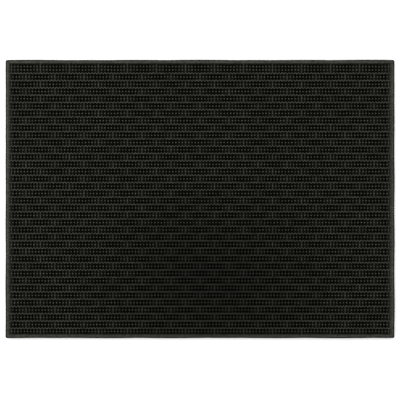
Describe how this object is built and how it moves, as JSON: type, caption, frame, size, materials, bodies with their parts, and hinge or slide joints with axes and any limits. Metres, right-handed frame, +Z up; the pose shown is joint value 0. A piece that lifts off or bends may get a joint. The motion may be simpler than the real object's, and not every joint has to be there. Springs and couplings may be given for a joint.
{
  "type": "door mat",
  "caption": "Rectangular moulded rubber scraper mat: upright pins in brick-staggered cells between wavy ribs, on a thin sheet with a plain edge band.",
  "frame": {"origin": "on the floor, under the centre of the mat", "axes": "+X along the long side, +Y from the front edge to the back edge, beside which the course with two rows of pins lies, +Z up from the floor to the tread"},
  "size_m": [0.7, 0.5, 0.009],
  "materials": {
    "sheet_rubber": "matt black rubber with a fine moulded grain",
    "tread_rubber": "matt black rubber, slightly greyed on the tips",
    "edge_rubber": "smooth satin black rubber"
  },
  "bodies": {
    "root": {"base_sheet": "sheet_rubber", "edge_left": "edge_rubber", "edge_right": "edge_rubber", "edge_front": "edge_rubber", "edge_back": "edge_rubber", "course_01": "tread_rubber", "course_02": "tread_rubber", "course_03": "tread_rubber", "course_04": "tread_rubber", "course_05": "tread_rubber", "course_06": "tread_rubber", "course_07": "tread_rubber", "course_08": "tread_rubber", "course_09": "tread_rubber", "course_10": "tread_rubber", "course_11": "tread_rubber", "course_12": "tread_rubber", "course_13": "tread_rubber", "course_14": "tread_rubber", "course_15": "tread_rubber", "course_16": "tread_rubber", "course_17": "tread_rubber", "course_18": "tread_rubber", "course_19": "tread_rubber", "course_20": "tread_rubber", "course_21": "tread_rubber", "course_22": "tread_rubber", "course_23": "tread_rubber", "course_24": "tread_rubber", "course_25": "tread_rubber", "course_26": "tread_rubber", "course_27": "tread_rubber", "course_28": "tread_rubber", "course_29": "tread_rubber", "course_30": "tread_rubber", "course_31": "tread_rubber", "course_32": "tread_rubber", "course_33": "tread_rubber", "course_34": "tread_rubber", "course_35": "tread_rubber", "course_36": "tread_rubber", "course_37": "tread_rubber"}
  },
  "joints": []
}
